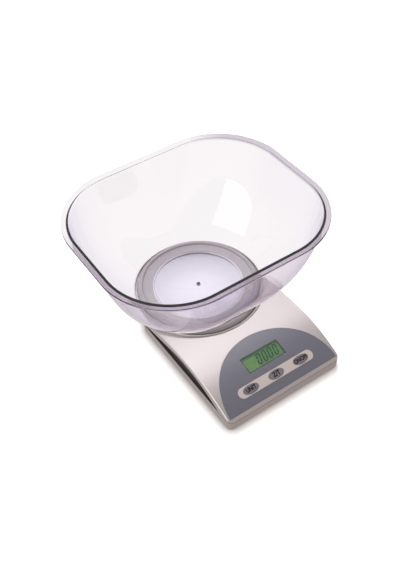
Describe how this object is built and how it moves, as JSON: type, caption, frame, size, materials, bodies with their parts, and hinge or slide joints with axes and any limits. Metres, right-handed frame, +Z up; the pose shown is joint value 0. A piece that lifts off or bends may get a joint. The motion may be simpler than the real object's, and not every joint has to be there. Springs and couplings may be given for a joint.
{
  "type": "digital pan scale",
  "caption": "Kitchen scale with an arched housing, a half-round display panel with sprung keys, a round weighing dish on a load cell, and a clear pan that lifts off.",
  "frame": {"origin": "on the floor below the feet, at the middle of the object's outline seen from above", "axes": "+X to the right, +Y from the display to the weighing dish, +Z up"},
  "size_m": [0.2424, 0.2524, 0.1331],
  "materials": {
    "silver_plastic": "satin silver",
    "tray_plastic": "satin silver, a shade darker",
    "insert_plastic": "dark moulded",
    "panel_plastic": "smooth dark grey",
    "strip_plastic": "satin pale grey",
    "key_plastic": "matt grey",
    "clear_window": "clear polished",
    "lcd_glass": "green tinted",
    "light_guide": "frosted green",
    "black_plastic": "matt black",
    "contact_rubber": "soft striped",
    "board": "solder-masked",
    "switch_metal": "plain",
    "screw_steel": "zinc plated",
    "beam_aluminium": "milled",
    "gauge_sealant": "matt white",
    "dish_plastic": "fine-grained grey",
    "plate_plastic": "pale smooth",
    "carrier_plastic": "moulded",
    "clear_pan": "clear polished",
    "lead_grey": "sheathed",
    "lead_red": "insulated",
    "cell_jacket": "plain printed sleeve",
    "contact_metal": "nickel plated",
    "foot_rubber": "matt"
  },
  "bodies": {
    "housing": {"top_cover": "silver_plastic", "bottom_tray": "tray_plastic", "insert_left": "insert_plastic", "insert_right": "insert_plastic", "display_panel": "panel_plastic", "key_strip": "strip_plastic", "display_window": "clear_window", "lcd_glass": "lcd_glass", "light_guide": "light_guide", "display_frame": "black_plastic", "contact_strips": "contact_rubber", "circuit_board": "board", "board_parts": "black_plastic", "key_switches": "switch_metal", "board_screws": "screw_steel", "load_cell": "beam_aluminium", "gauge_cover": "gauge_sealant", "base_plate": "beam_aluminium", "overload_stop": "screw_steel", "lower_screws": "screw_steel", "cell_lead": "lead_grey", "battery_leads": "lead_red", "batteries": "cell_jacket", "battery_springs": "contact_metal", "battery_contacts": "contact_metal", "rubber_feet": "foot_rubber", "housing_screws": "screw_steel"},
    "dish": {"dish": "dish_plastic", "dish_plate": "plate_plastic", "carrier": "carrier_plastic", "beam_post": "beam_aluminium", "upper_screws": "screw_steel", "dish_screws": "screw_steel"},
    "pan": {"pan": "clear_pan"},
    "unit_key": {"key_unit": "key_plastic"},
    "tare_key": {"key_tare": "key_plastic"},
    "power_key": {"key_power": "key_plastic"},
    "battery_door": {"battery_door": "tray_plastic"}
  },
  "joints": [
    {"name": "dish_load", "type": "slide", "parent": "housing", "child": "dish", "axis": [0, 0, -1], "range_m": [0, 0.0005], "stiffness_N_per_m": 60000, "deforming": ["load_cell"]},
    {"name": "pan_lift", "type": "slide", "parent": "dish", "child": "pan", "axis": [0, 0, 1], "range_m": [0, 0.08]},
    {"name": "unit_press", "type": "slide", "parent": "housing", "child": "unit_key", "axis": [0, 0.2003, -0.9797], "range_m": [0, 0.0006], "stiffness_N_per_m": 300},
    {"name": "tare_press", "type": "slide", "parent": "housing", "child": "tare_key", "axis": [0, 0.2003, -0.9797], "range_m": [0, 0.0006], "stiffness_N_per_m": 300},
    {"name": "power_press", "type": "slide", "parent": "housing", "child": "power_key", "axis": [0, 0.2003, -0.9797], "range_m": [0, 0.0006], "stiffness_N_per_m": 300},
    {"name": "battery_door_tilt", "type": "hinge", "parent": "housing", "child": "battery_door", "pos_m": [0, -0.041, 0.0027], "axis": [1, 0, 0], "range_deg": [0, 75]}
  ]
}
